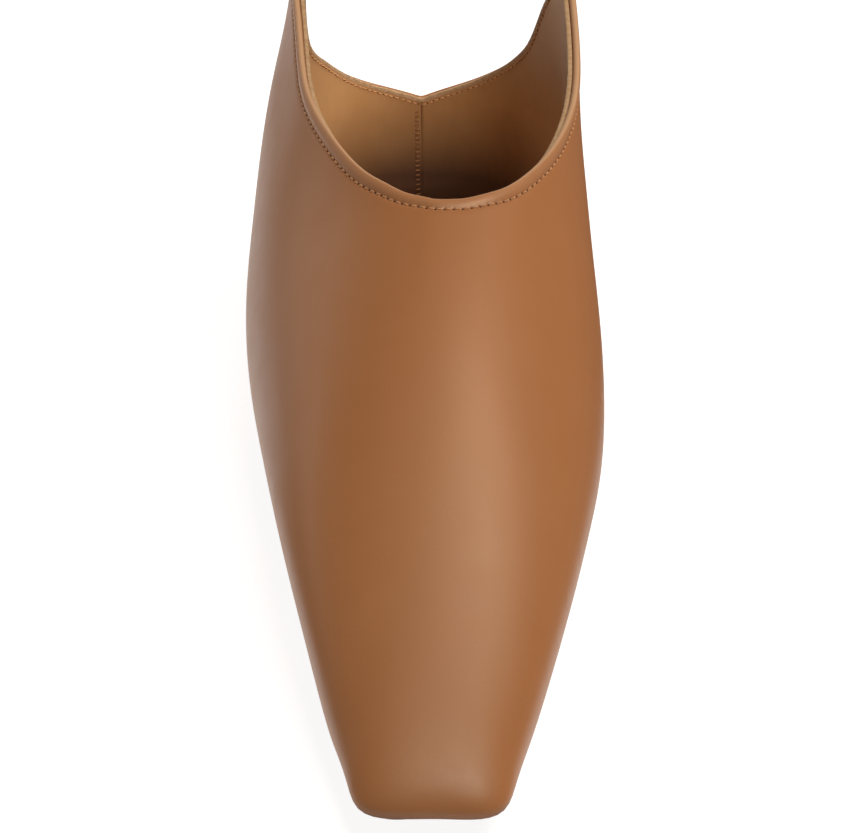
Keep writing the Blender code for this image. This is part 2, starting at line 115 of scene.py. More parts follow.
# ---- mesh counts ----
COLUMNS = 480  # mesh columns round the leather
EDGE_SPLIT = 4  # columns of the rolled edge to each of them
LINING_COLUMNS = 420
SKIN_ROWS = (44, 6, 12)  # mesh rows below the window, across it and above it
LINING_ROWS = (34, 6, 8)
ROW_CROWDING = 1.35  # how much the skin's lowest rows crowd towards the feather line
OUTLINE_POINTS = 1440  # points round the sole and the sock lining
CLOSING_RINGS = 8  # rings that close each of their faces
WINDOW_POINTS = 900  # points round the window's edge
CORNER_REACH, CORNER_SOFTNESS = 9, 4.0  # how many of them each of its corners is rounded over

# ---- sizes of the visible layers ----
BAND = 6.0 * MM  # depth of the finely meshed band below the top edge
TURN_DEPTH = 0.6 * MM  # depth where the rolled edge turns over
LINING_OFFSET = 2.1 * MM  # the lining's face, inside the leather's face
LINING_MARGIN = 3.0 * MM  # width turned in under the sock lining
MARGIN_LIFT = 0.08 * MM  # and its inner edge above the feather line
# the lining's offset thins to these shares of itself in the toe and at the feather line
THIN_TOE, THIN_TOE_FROM, THIN_TOE_SPAN = 0.35, 12 * MM, 40 * MM
THIN_FOOT, THIN_FOOT_SPAN = 0.3, 8 * MM
SEAM_DEPTH = 0.20 * MM  # groove of the closed seam at the centre back
SEAM_WIDTH = 0.32 * MM
# extra mesh columns at and beside that seam, in mm from it
SEAM_COLUMNS = (
    -2.4, -1.8, -1.3, -0.95, -0.7, -0.5, -0.35, -0.2, 0, 0.2, 0.35, 0.5, 0.7, 0.95, 1.3, 1.8, 2.4,
)

# Sections are pairs in mm: how far outside the leather's face, then how far up past its end or, for the
# window, how far into the opening.
ROLL = (
    (0.00, -6.0), (0.00, -5.4), (0.00, -4.8), (-0.02, -4.25), (-0.07, -3.75), (-0.16, -3.35), (-0.19, -3.15),
    (-0.13, -2.85), (0.02, -2.45), (0.20, -1.95), (0.32, -1.35), (0.29, -0.68), (0.11, -0.12),
    (-0.22, 0.17), (-0.66, 0.24), (-1.10, 0.08), (-1.42, -0.25), (-1.60, -0.75), (-1.66, -1.30),
)
LINING_EDGE = (  # the lining's cut edge inside the roll
    (-1.62, -1.60), (-1.70, -0.95), (-1.80, -0.62), (-2.10, -0.50), (-2.60, -0.52), (-2.90, -0.70),
    (-2.97, -1.10), (-2.93, -1.60),
)
# from the cut edge down to where the lining lies flat on the wall
LINING_FACE = ((-2.93, -1.5), (-2.86, -2.4), (-2.68, -3.6), (-2.42, -5.0), (-2.2, -6.6), (-2.1, -8.0))
WINDOW_FOLD = (  # the leather's folded edge round the window
    (0.00, -2.6), (-0.04, -2.0), (-0.12, -1.6), (-0.03, -1.2), (0.09, -0.75), (0.10, -0.25), (0.00, 0.12),
    (-0.25, 0.30), (-0.60, 0.28), (-0.88, 0.06), (-0.96, -0.40),
)
WINDOW_LINING = (  # the lining's edge beside that fold
    (-0.92, -0.50), (-1.00, 0.02), (-1.16, 0.16), (-1.65, 0.18), (-2.02, 0.06), (-2.16, -0.28), (-2.16, -0.9),
)

# ---- stitches ----
STITCH_DEPTH = 3.20 * MM  # topline stitches below the top edge
STITCH_PITCH = 2.1 * MM
STITCH_SINK = 0.27 * MM  # their middle below the leather's face
STITCH_SLANT = 9  # degrees
HOLE_SINK = 0.30 * MM
HOLE_PULL = 0.22 * MM  # how far each needle hole pulls the leather in
HOLE_PULL_DEPTH = 0.42 * MM  # how far that pull spreads across the stitch line
HOLE_PULL_LENGTH = 0.16  # and along it, as a share of the pitch
WINDOW_PITCH = 2.0 * MM
# rows round the window: name, side of the layers, then how far into the opening and outside the face
WINDOW_ROWS = (("outside", 1, -1.6 * MM, -0.16 * MM), ("inside", -1, -1.7 * MM, -2.1 * MM))
SEAM_PITCH = 1.45 * MM
SEAM_BESIDE = 1.15 * MM  # the bars' place beside the seam
SEAM_SLANT = 12  # degrees
SEAM_LOWEST = 14 * MM  # height of the lowest bar
SEAM_TOP_GAP = 2.5 * MM  # from the highest bar to the counter's edge
THREAD_RAISE = 0.02 * MM  # of window and seam stitches, off the surface
# one stitch: length, thread radius, how far its ends dip
TOPLINE_STITCH = (1.40 * MM, 0.25 * MM, 0.40 * MM)
WINDOW_STITCH = (1.55 * MM, 0.24 * MM, 0.36 * MM)
SEAM_STITCH = (1.5 * MM, 0.26 * MM, 0.3 * MM)
# one needle hole: radius, depth
TOPLINE_HOLE = (0.34 * MM, 0.3 * MM)
WINDOW_HOLE = (0.26 * MM, 0.3 * MM)

# ---- sole and sock lining ----
SOCK_INSET = 1.3 * MM  # from the feather line in to each plate's edge
SOLE_INSET = 0.6 * MM
SOCK_DISH = 0.5 * MM  # how much lower than its edge the sock lining's middle lies
SOLE_AT_TOE = 1.6 * MM  # the sole's thickness up to the toe's tip
SOLE_FULL_FROM = 30 * MM  # station from which it has its full thickness
SPINE_FROM_TOE, SPINE_FROM_HEEL = 12.25 * MM, 35 * MM  # ends of the middle line their faces close on
# their edges, from the top down: inset, height above the feather line, less a share of the thickness
SOCK_SECTION = ((0.0, 2.4 * MM, 0.0), (0.3 * MM, 0.6 * MM, 0.0), (0.8 * MM, 0.1 * MM, 0.0))
SOLE_SECTION = (
    # a low step inside the upper's foot closes the seat gap to the eye
    (1.1 * MM, 0.06 * MM, 0.0), (1.0 * MM, -SEAT_GAP, 0.0),
    *((inset * MM, -SEAT_GAP, share) for inset, share in (
        (0.5, 0.0), (0.12, 0.04), (0.0, 0.16), (0.0, 0.5), (0.02, 0.8), (0.14, 0.95), (0.45, 1.0),
    )),
)

# ---- painted shade on the leather: 1 is fully dark and 0 is none; below 0 it is paler ----
FOOT_DARK, FOOT_DARK_RISE = 0.9, 1.6 * MM  # painted shade just above the feather line
TOE_DARK_RISE, TOE_DARK_REACH = 2.6 * MM, 20 * MM  # painted shade, fully dark under the toe, up to this height and station
GROOVE_DARK, GROOVE_DARK_WIDTH = 0.12, 0.30 * MM  # painted shade in the groove along the topline's stitches
INSIDE_DARK = 0.9  # painted shade where the roll goes in behind the lining
CREST_PALE = 0.50  # painted highlight along the roll's crest
CREST_PLACE, CREST_WIDTH, CREST_DEPTH = -0.45 * MM, 0.75 * MM, 0.5 * MM  # across the roll, and down it
ROLL_PALE = 0.11  # over the whole roll
# painted shade in the seam's groove at the centre back
SEAM_DARK, SEAM_DARK_WIDTH = 0.7, 0.28 * MM
LINING_DARK = 0.95  # painted shade near the insole
LINING_DARK_FROM, LINING_DARK_SPAN = 36 * MM, 26 * MM  # height where it starts, and how far down it grows

# ---- colours, as screen values from 0 to 255 ----
COLOURS = {
    "tan": (170, 113, 70), "tan_dark": (162, 104, 62), "tan_light": (178, 122, 80),
    # the first colour below is painted shade; the second is a painted highlight on the roll's crest and a
    # paler tone over the roll
    "tan_painted_shade": (84, 46, 22), "tan_pale_highlight": (222, 186, 150),
    "lining": (182, 134, 84), "lining_light": (198, 150, 98), "lining_nap": (206, 162, 116),
    # the first colour below is painted shade, along the back seam and near the insole
    "lining_painted_shade": (64, 31, 12), "lining_sheen": (225, 200, 175),
    "raw_edge": (198, 166, 130), "raw_edge_dark": (178, 142, 106),
    "thread": (210, 160, 116), "thread_dark": (182, 126, 82),
    "seam_thread": (156, 108, 68), "seam_thread_dark": (134, 90, 54),
    # needle holes: dark plugs whose colour is painted shade in the holes
    "hole": (76, 42, 23), "hole_dark": (64, 35, 18),
    "sole": (86, 56, 36), "sole_dark": (70, 45, 29),
    "rubber": (40, 37, 34), "rubber_light": (52, 48, 45),
    "stack_dark": (84, 50, 28), "stack_light": (122, 78, 46),
    "paper": (160, 160, 160), "inner_screen": (120, 78, 46), "outer_screen": (175, 140, 110),
}
TAN_ROUGH = 0.43
TAN_SHADE_ROUGH = 0.35  # how much rougher it is under full painted shade

# ---- camera ----
CAMERA_AIM = Vector((0.0, 0.017, 0.020))
CAMERA_DISTANCE = 0.430
CAMERA_ELEVATION = np.radians(27.0)
CAMERA_LENS, CAMERA_SENSOR = 79.28, 36.0  # focal length and sensor width, in mm

# ---- light ----
FLOOR_SIDE = 6.0  # half the floor's side
FLOOR_GLOW = 0.90
WORLD_LEFT, WORLD_RIGHT = 1.00, 0.90  # how bright the room is on each side
WORLD_FADE = (-0.75, 0.15)  # x of the directions between which it changes
VAMP = (0.0, 0.0, 0.03)  # where lamps aim
COUNTER = (-0.011, 0.164, 0.053)
WARM = (1, 0.91, 0.79)
LAMPS = (
    # name, place, aim, width and length, spread in degrees, power in watts, tint, and whether diffuse and
    # glossy reflections show it
    ("key_light", (0.054, -0.005, 0.158), VAMP, (0.04, 0.04), 180, 0.060, (1, 0.97, 0.78), False, True),
    ("toe_light", (0.036, -0.118, 0.220), VAMP, (0.045, 0.045), 180, 0.215, (1, 0.95, 0.76), False, True),
    ("fill_light", (0.40, 0.10, 1.00), VAMP, (0.90, 0.90), 180, 11.9, WARM, True, False),
    ("left_light", (-0.85, 0.75, 0.50), VAMP, (0.60, 0.50), 180, 1.3, WARM, True, True),
    ("inside_light", (0.019, 0.122, 0.074), COUNTER, (0.016, 0.016), 80, 0.0046, (1, 0.93, 0.84), True, True),
)
# upright cards that only reflections see: name, x, front and back y, height
SCREENS = (("inner_screen", 0.066, -0.16, 0.40, 0.14), ("outer_screen", -0.085, -0.16, 0.03, 0.05))


# ---- curves, as in the frame's source ----
def smooth_through(known_x, known_y, x):
    """A smooth curve through known points that never swings past them (monotone cubic)."""
    known_x, known_y = np.asarray(known_x, float), np.asarray(known_y, float)
    gap = np.diff(known_x)
    grade = np.diff(known_y) / gap
    slope = np.zeros_like(known_x)
    slope[0], slope[-1] = grade[0], grade[-1]
    for i in range(1, len(known_x) - 1):
        if grade[i - 1] * grade[i] > 0:
            ahead, behind = 2 * gap[i] + gap[i - 1], gap[i] + 2 * gap[i - 1]
            slope[i] = (ahead + behind) / (ahead / grade[i - 1] + behind / grade[i])
    k = np.clip(np.searchsorted(known_x, x) - 1, 0, len(known_x) - 2)
    t = (x - known_x[k]) / gap[k]
    return (
        (1 + 2 * t) * (1 - t) ** 2 * known_y[k]
        + t * (1 - t) ** 2 * gap[k] * slope[k]
        + t * t * (3 - 2 * t) * known_y[k + 1]
        + t * t * (t - 1) * gap[k] * slope[k + 1]
    )


def loop_bend(points, knots):
    """Second derivatives of the closed cubic spline through points."""
    count = len(points)
    gap = np.diff(knots)
    system = np.zeros((count, count))
    right = np.zeros((count, points.shape[1]))
    for i in range(count):
        after = (i + 1) % count
        system[i, i - 1] += gap[i - 1]
        system[i, i] += 2 * (gap[i - 1] + gap[i])
        system[i, after] += gap[i]
        right[i] = 6 * ((points[after] - points[i]) / gap[i] - (points[i] - points[i - 1]) / gap[i - 1])
    return np.linalg.solve(system, right)


def loop_through(points, knots, at):
    """A closed cubic spline through points. knots holds where each lies, and then the full length."""
    count = len(points)
    gap = np.diff(knots)
    bend = loop_bend(points, knots)
    at = np.mod(at, knots[-1])
    k = np.clip(np.searchsorted(knots, at, side="right") - 1, 0, count - 1)
    after = (k + 1) % count
    span = gap[k][:, None]
    done, left = (at - knots[k])[:, None], (knots[k + 1] - at)[:, None]
    return (
        (bend[k] * left**3 + bend[after] * done**3) / (6 * span)
        + (points[k] / span - bend[k] * span / 6) * left
        + (points[after] / span - bend[after] * span / 6) * done
    )


def spline_weights(count, t):
    """Weights of the control points of a clamped cubic B-spline, one row for each value of t."""
    degree = 3
    inner = np.linspace(0, 1, count - degree + 1)
    knots = np.concatenate([[0] * degree, inner, [1] * degree])
    t = np.clip(np.asarray(t, float), 0, 1 - 1e-9)
    weights = [((t >= a) & (t < b)).astype(float) for a, b in zip(knots[:-1], knots[1:])]
    for order in range(1, degree + 1):
        raised = []
        for i in range(len(weights) - 1):
            rising = knots[i + order] - knots[i]
            falling = knots[i + order + 1] - knots[i + 1]
            weight = np.zeros_like(t)
            if rising > 0:
                weight = weight + (t - knots[i]) / rising * weights[i]
            if falling > 0:
                weight = weight + (knots[i + order + 1] - t) / falling * weights[i + 1]
            raised.append(weight)
        weights = raised
    return np.array(weights).T


def bell(x, width, power=2):
    """1 where x is 0, and next to nothing a few widths away. A higher power has a flatter top."""
    return np.exp(-((x / width) ** power))


def unit(v):
    """Vectors of length 1 along the last axis."""
    return v / np.maximum(np.linalg.norm(v, axis=-1, keepdims=True), 1e-12)


def closed(points):
    """The points with the first one again at the end."""
    return np.vstack([points, points[:1]])


def run_along(points):
    """The length along each line of points, up to each of them."""
    steps = np.linalg.norm(np.diff(points, axis=0), axis=-1)
    return np.concatenate([np.zeros((1, *steps.shape[1:])), np.cumsum(steps, axis=0)])


def catmull(points, steps):
    """A smooth curve through points, with steps points for each stretch."""
    points = np.asarray(points, float)
    ends = np.vstack([2 * points[0] - points[1], points, 2 * points[-1] - points[-2]])
    out = []
    for i in range(1, len(ends) - 2):
        a, b, c, d = ends[i - 1:i + 3]
        for t in np.arange(steps) / steps:
            out.append(0.5 * (
                2 * b + (c - a) * t
                + (2 * a - 5 * b + 4 * c - d) * t * t
                + (3 * b - a - 3 * c + d) * t**3
            ))
    out.append(points[-1])
    return np.array(out)


# ---- the feather line and the ribs ----
def feather_height(station):
    known = np.array(SIDE_STATION) * LENGTH
    lift = SOLE + SEAT_GAP + np.array(SIDE_SPRING) * TOE_SPRING + np.array(SIDE_RISE) * HEEL_RISE
    return smooth_through(known, lift, station)


FEET = np.array([(row.foot_x * BALL_WIDTH, row.foot_s * LENGTH) for row in RIBS])
KNOTS = run_along(closed(FEET))  # where each foot lies along the feather line, then its full length
FULL = KNOTS[-1]


def outward(at):
    """Unit normals that point out of the feather line, in plan."""
    step = 1e-4
    along = unit(loop_through(FEET, KNOTS, at + step) - loop_through(FEET, KNOTS, at - step))
    return np.column_stack([along[:, 1], -along[:, 0]])


def control_rows():
    """The ribs' control points, as [control, rib, xyz]."""
    out = outward(KNOTS[:-1])
    rows = np.array(RIBS)
    belly, low, wall, rise, crown, lean = rows[:, 2:8].T
    base = feather_height(FEET[:, 1])

    def beside(share, height):
        return np.column_stack([FEET + out * (share * BALL_WIDTH)[:, None], base + height])

    foot = np.column_stack([FEET, base])
    bulge = beside(belly, low * THROAT_HEIGHT)
    side = beside(wall, rise * THROAT_HEIGHT)
    top = rows[:, 8:11] * (BALL_WIDTH, LENGTH, THROAT_HEIGHT)
    last = top + unit(side - top) * NECK
    middle = (side + last) / 2
    middle[:, 2] += crown * THROAT_HEIGHT
    middle[:, 0] += lean * BALL_WIDTH
    return np.array([foot, bulge, side, middle, last, top]) - (0.0, BALL_STATION, 0.0)


CONTROL_ROWS = control_rows()


def controls_at(at):
    """Control points of the ribs at these places along the feather line, as [control, place, xyz]."""
    return np.array([loop_through(row, KNOTS, at) for row in CONTROL_ROWS])


# ---- the upper's face ----
def rib_points(controls, t):
    """Points at t along each rib; t holds one row for each mesh row and one column for each rib."""
    weights = spline_weights(len(controls), t.ravel()).reshape(*t.shape, len(controls))
    return np.einsum("rnc,cnk->rnk", weights, controls)


def rib_samples(controls, t):
    """Points at the same values of t along every rib."""
    return rib_points(controls, np.repeat(t[:, None], controls.shape[1], axis=1))


def face_frame(at, t):
    """Points of the face, normals out of it and directions up the ribs. t is [row, column]."""
    step_at, step_t = 2e-4, 1e-3
    low, high = np.clip(t - step_t, 0, 1), np.clip(t + step_t, 0, 1)
    here = controls_at(at)
    points = rib_points(here, t)
    up = unit(rib_points(here, high) - rib_points(here, low))
    along = rib_points(controls_at(at + step_at), t) - rib_points(controls_at(at - step_at), t)
    normal = unit(np.cross(along, up))
    return points, normal, up


def face_line(at, t):
    """The same along one line: t holds a single value for each place."""
    return [rows[0] for rows in face_frame(at, t[None, :])]


def t_at_height(controls, heights):
    """t where each rib reaches a height; heights holds one for each rib."""
    t = np.linspace(0, 1, 101)
    levels = rib_samples(controls, t)[:, :, 2]
    return np.array([np.interp(h, levels[:, i], t) for i, h in enumerate(heights)])


def t_at_depth(controls, depths):
    """t where each rib is a given length below its top edge; one row for each depth."""
    t = np.linspace(1, 0.2, 401)
    run = run_along(rib_samples(controls, t))
    return np.array([[np.interp(d, run[:, i], t) for i in range(run.shape[1])] for d in depths])


def station_and_rise(points):
    """Each point's station, and its height above the feather line."""
    station = points[:, :, 1] + BALL_STATION
    return station, points[:, :, 2] - feather_height(station)


def counter_edge(share, outer_side, tip):
    """Height of the counter's top edge."""
    share = np.minimum(share, 1.0)
    outer = smooth_through(EDGE_SHARE, EDGE_OUTER + (tip,), share)
    inner = smooth_through(EDGE_SHARE, EDGE_INNER + (tip,), share)
    return np.where(outer_side, outer, inner)


def signed_places(at):
    """Places measured from the centre back, below 0 on the inner side."""
    return np.where(at > FULL / 2, at - FULL, at)


TOP_AT_TIP = controls_at(np.array([WINDOW_REACH]))[-1, 0, 2]


def window_edges(signed, controls):
    """t of the window's lower and upper edge on each rib, and which ribs cross the window."""
    share = np.abs(signed) / WINDOW_REACH
    strap_edge = controls[-1, :, 2] - STRAP_WIDTH
    tip_edge = (TOP_AT_TIP - STRAP_WIDTH) - WINDOW_TIP
    edge = counter_edge(share, signed >= 0, tip_edge)
    low, high = t_at_height(controls, edge), t_at_height(controls, strap_edge)
    tip = t_at_height(controls, strap_edge - WINDOW_TIP)
    fan = np.clip(share - 1, 0, 1)
    fan = fan * fan * (3 - 2 * fan)
    ahead = share > 1 + 1e-6
    low = np.where(ahead, tip + (EVEN_LOW - tip) * fan, low)
    high = np.where(ahead, high + (EVEN_HIGH - high) * fan, high)
    return low, high, ~ahead


def places(count, extra=()):
    """Places round the upper, with one exactly on each front end of the window."""
    at = np.linspace(0, FULL, count, endpoint=False)
    for reach in (WINDOW_REACH, FULL - WINDOW_REACH):
        at[np.argmin(np.abs(at - reach))] = reach
    return np.unique(np.concatenate([at, np.mod(np.asarray(extra, float), FULL)]))


# ---- meshes ----
def in_scene(name, data):
    """A new object in the scene."""
    made = bpy.data.objects.new(name, data)
    bpy.context.scene.collection.objects.link(made)
    return made


def add_piece(name, points, faces, finish, shades=None):
    """A mesh object that rides on the frame. shades holds one number per point, named "shade"."""
    data = bpy.data.meshes.new(name)
    data.from_pydata(np.asarray(points, float).reshape(-1, 3).tolist(), [], faces)
    data.validate()
    if shades is not None:
        layer = data.attributes.new("shade", "FLOAT", "POINT")
        layer.data.foreach_set("value", np.asarray(shades, np.float32))
    data.shade_smooth()
    data.materials.append(finish)
    piece = in_scene(name, data)
    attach(piece, "root")
    return piece


def grid_faces(rows, columns, flip=False, start=0, skip=None):
    """Quads of rows of points that each close on themselves; skip(row, i, j) leaves one out."""
    faces = []
    for r in range(rows - 1):
        for i in range(columns):
            j = (i + 1) % columns
            if skip is not None and skip(r, i, j):
                continue
            a, b = start + r * columns + i, start + r * columns + j
            c, d = start + (r + 1) * columns + j, start + (r + 1) * columns + i
            faces.append((d, c, b, a) if flip else (a, b, c, d))
    return faces


def section_rings(section, points, normal, up):
    """A ring of points for each (outside, above) pair of a section."""
    outside, above = section.T[:, :, None, None]
    return points + normal * outside + up * above


def pack_used(points, faces, shades):
    """The same mesh without the points that no face uses."""
    used = np.unique(np.concatenate([np.asarray(face) for face in faces]))
    new = np.full(len(points), -1)
    new[used] = np.arange(len(used))
    faces = [tuple(new[list(face)].tolist()) for face in faces]
    return points[used], faces, shades[used]


def wall_rows(low, high, top, counts, crowding=1.0):
    """t of mesh rows below the window, across it and above it, up to just below the row at top."""
    below, across, above = counts
    rows = [low * (k / below) ** crowding for k in range(below)]
    rows += [low + (high - low) * k / across for k in range(across)]
    rows += [high + (top - high) * k / above for k in range(above)]
    return np.array(rows)


def window_skip(counts, in_window):
    """A test for the quads of such rows that lie in the window."""
    below, across, _ = counts

    def skip(row, i, j):
        return below <= row < below + across and in_window[i] and in_window[j]

    return skip


# ---- leather skin of the upper ----
def topline_places():
    """Even places for the topline's stitches, and the length along their line at many places."""
    at = np.linspace(0, FULL, 3000)
    controls = controls_at(at)
    run = run_along(rib_points(controls, t_at_depth(controls, [STITCH_DEPTH]))[0])
    count = int(round(run[-1] / STITCH_PITCH))
    return np.interp(np.arange(count) / count * run[-1], run, at), run, at


STITCH_AT, LINE_RUN, LINE_AT = topline_places()


def stitch_waves(at):
    """1 where the needle went in and 0 midway between, along the topline."""
    run = np.interp(at, LINE_AT, LINE_RUN) / LINE_RUN[-1] * len(STITCH_AT)
    return bell((run - 0.5) % 1.0 - 0.5, HOLE_PULL_LENGTH)


def foot_shade(points):
    """Painted shade: the leather is darker just above the feather line, most of all under the toe."""
    station, rise = station_and_rise(points)
    toe = bell(rise, TOE_DARK_RISE, 4) * bell(station, TOE_DARK_REACH)
    return np.maximum(bell(rise, FOOT_DARK_RISE) * FOOT_DARK, toe)


def rolled_edge(at):
    """Rings and shades of the finely meshed band and the roll, up from the wall's last row."""
    profile = catmull(ROLL, 2) * MM
    turn = np.argmax(profile[:, 1] >= -TURN_DEPTH)
    wall, over = profile[:turn], profile[turn:]

    # up to the turn it follows the wall, with a pull at each needle hole
    depths = -wall[:, 1]
    points, normal, _ = face_frame(at, t_at_depth(controls_at(at), depths))
    pull = HOLE_PULL * bell(depths - STITCH_DEPTH, HOLE_PULL_DEPTH)
    outside = wall[:, 0][:, None] - pull[:, None] * stitch_waves(at)[None, :]
    wall_rings = points + normal * outside[:, :, None]
    over_rings = section_rings(over, *face_line(at, np.ones(len(at))))

    # painted shade along the stitches and behind the lining, a painted highlight along its crest, paler over
    # the roll
    dark = np.concatenate([
        bell(depths - STITCH_DEPTH, GROOVE_DARK_WIDTH) * GROOVE_DARK,
        np.linspace(0, 1, len(over)) ** 6 * INSIDE_DARK,
    ])
    crest = bell(profile[:, 0] - CREST_PLACE, CREST_WIDTH, 4) * np.clip(1 + profile[:, 1] / CREST_DEPTH, 0, 1)
    roll = np.clip(1 + profile[:, 1] / STITCH_DEPTH, 0, 1) ** 0.5
    shade = dark - CREST_PALE * crest - ROLL_PALE * roll
    # the wall's last row stands in for the first ring
    return np.concatenate([wall_rings[1:], over_rings]), np.repeat(shade[1:, None], len(at), axis=1)


def make_skin(finish):
    at = places(COLUMNS)
    controls = controls_at(at)
    low, high, in_window = window_edges(signed_places(at), controls)
    band = t_at_depth(controls, [BAND])
    rows = np.vstack([wall_rows(low, high, band[0], SKIN_ROWS, ROW_CROWDING), band])
    wall, _, _ = face_frame(at, rows)
    faces = grid_faces(len(rows), len(at), skip=window_skip(SKIN_ROWS, in_window))

    ends = np.append(at[1:], FULL)
    fine_at = np.concatenate([a + (b - a) * np.arange(EDGE_SPLIT) / EDGE_SPLIT for a, b in zip(at, ends)])
    edge, edge_shade = rolled_edge(fine_at)

    # each column of the wall meets EDGE_SPLIT columns of the edge
    count, fine_count = len(at), len(fine_at)
    start = len(rows) * count
    last = start - count
    for i in range(count):
        top = [start + (i * EDGE_SPLIT + k) % fine_count for k in range(EDGE_SPLIT + 1)]
        faces.append((last + i, last + (i + 1) % count, *reversed(top)))
    faces += grid_faces(len(edge), fine_count, start=start)
    points = np.concatenate([wall.reshape(-1, 3), edge.reshape(-1, 3)])
    shades = np.concatenate([foot_shade(wall).ravel(), edge_shade.ravel()])
    points, faces, shades = pack_used(points, faces, shades)
    return add_piece("upper_leather", points, faces, finish, shades)


# ---- lining ----
def make_lining(finish, edge_finish):
    at = places(LINING_COLUMNS, np.array(SEAM_COLUMNS) * MM)
    signed = signed_places(at)
    controls = controls_at(at)
    low, high, in_window = window_edges(signed, controls)
    face = catmull(LINING_FACE, 2)[::-1] * MM
    t_face = t_at_depth(controls, -face[:, 1])
    rows = np.vstack([wall_rows(low, high, t_face[0], LINING_ROWS), t_face])
    points, normal, _ = face_frame(at, rows)
    station, rise = station_and_rise(points)

    # the layers thin out in the toe and under the foot's edge
    thin = np.clip((station - THIN_TOE_FROM) / THIN_TOE_SPAN, THIN_TOE, 1)
    thin = thin * np.clip(THIN_FOOT + rise / THIN_FOOT_SPAN, THIN_FOOT, 1)
    offset = LINING_OFFSET * thin
    offset[-len(face):] = -face[:, 0][:, None]
    on_counter = (np.arange(len(rows)) <= LINING_ROWS[0])[:, None]
    offset -= SEAM_DEPTH * bell(signed, SEAM_WIDTH) * on_counter
    points = points - normal * offset[:, :, None]

    # painted shade: the lining is darker along the seam's groove and towards the insole
    low_shade = LINING_DARK * np.clip((LINING_DARK_FROM - rise) / LINING_DARK_SPAN, 0, 1) ** 1.2
    shade = np.maximum(SEAM_DARK * bell(signed, SEAM_DARK_WIDTH) * on_counter, low_shade)

    faces = grid_faces(len(rows), len(at), flip=True, skip=window_skip(LINING_ROWS, in_window))
    # a margin is turned in under the sock lining
    margin = points[0] - np.column_stack([outward(at) * LINING_MARGIN, np.zeros(len(at))])
    margin[:, 2] = feather_height(margin[:, 1] + BALL_STATION) + MARGIN_LIFT
    count, base = len(at), len(rows) * len(at)
    faces += [(i, (i + 1) % count, base + (i + 1) % count, base + i) for i in range(count)]
    points = np.concatenate([points.reshape(-1, 3), margin])
    # the margin is fully dark: painted shade in the gap under the sock lining
    shades = np.concatenate([shade.ravel(), np.ones(count)])
    points, faces, shades = pack_used(points, faces, shades)
    add_piece("lining", points, faces, finish, shades)

    edge_at = places(COLUMNS * 2)
    rings = section_rings(catmull(LINING_EDGE, 3) * MM, *face_line(edge_at, np.ones(len(edge_at))))
    faces = grid_faces(len(rings), len(edge_at))
    add_piece("lining_top_edge", rings, faces, edge_finish)


# ---- the window's edge ----
def window_loop():
    """Points round the window's edge, normals out of the face, directions into the window and along."""
    back = np.linspace(-WINDOW_REACH, WINDOW_REACH, 400)
    low, high, _ = window_edges(back, controls_at(back))
    # its upright front ends
    outer = np.linspace(low[-1], high[-1], 12)[1:-1]
    inner = np.linspace(high[0], low[0], 12)[1:-1]
    ends = np.full(len(outer), WINDOW_REACH)
    at = np.concatenate([back, ends, back[::-1], -ends])
    t = np.concatenate([low, outer, high[::-1], inner])
    points, normal, _ = face_line(at, t)
    run = run_along(closed(points))
    even = np.arange(WINDOW_POINTS) / WINDOW_POINTS * run[-1]
    kernel = bell(np.arange(-CORNER_REACH, CORNER_REACH + 1), CORNER_SOFTNESS)
    kernel /= kernel.sum()

    def soften(values):
        """Evenly spaced values round the loop, with its corners rounded."""
        ring = closed(values)
        ring = np.column_stack([np.interp(even, run, column) for column in ring.T])
        padded = np.vstack([ring[-CORNER_REACH:], ring, ring[:CORNER_REACH]])
        return np.column_stack([np.convolve(column, kernel, "valid") for column in padded.T])

    points, normal = soften(points), unit(soften(normal))
    along = unit(np.roll(points, -1, axis=0) - np.roll(points, 1, axis=0))
    return points, normal, unit(np.cross(normal, along)), along


def sweep_section(name, loop, section, finish):
    points, normal, into, _ = loop
    rings = section_rings(catmull(section, 2) * MM, points, normal, into)
    return add_piece(name, rings, grid_faces(len(rings), len(points)), finish)


# ---- stitches ----
def stitch_shape(length, radius, dip, rings=9, sides=7):
    """One stitch as (along, across, up) points: a thread whose two ends dive into the leather."""
    points = []
    for s in np.linspace(-1, 1, rings):
        fat = radius * np.sqrt(max(1 - (abs(s) ** 4), 0.05))
        height = radius * 0.55 - dip * abs(s) ** 3
        for a in np.arange(sides) / sides * 2 * np.pi:
            points.append((s * length / 2, np.cos(a) * fat, height + np.sin(a) * fat))
    faces = grid_faces(rings, sides)
    faces.append(tuple(range(sides))[::-1])
    faces.append(tuple(range((rings - 1) * sides, rings * sides)))
    return np.array(points), faces


def bead_shape(radius, depth, sides=8):
    """A small rounded plug, mostly below the surface."""
    points = [(0, 0, 0.02 * MM)]
    for spread, height in ((0.75, 0.015), (1.0, -0.04)):
        for a in np.arange(sides) / sides * 2 * np.pi:
            points.append((np.cos(a) * radius * spread, np.sin(a) * radius * spread, height * MM))
    points.append((0, 0, -depth))
    faces = [(0, 1 + i, 1 + (i + 1) % sides) for i in range(sides)]
    faces += grid_faces(2, sides, start=1, flip=True)
    end = len(points) - 1
    faces += [(1 + sides + (i + 1) % sides, 1 + sides + i, end) for i in range(sides)]
    return np.array(points), faces


def lay_copies(name, shape, spots, finish):
    """Copies of one small shape; spots holds (centre, along, across, up) arrays."""
    points, faces = shape
    centre, *directions = spots
    laid = centre[:, None, :]
    for axis, direction in enumerate(directions):
        laid = laid + direction[:, None, :] * points[None, :, axis, None]
    count = len(points)
    all_faces = [tuple(k * count + i for i in face) for k in range(len(centre)) for face in faces]
    return add_piece(name, laid, all_faces, finish)


def turned(along, across, degrees):
    """Two directions at right angles, turned together in their plane."""
    c, s = np.cos(np.radians(degrees)), np.sin(np.radians(degrees))
    return along * c + across * s, across * c - along * s


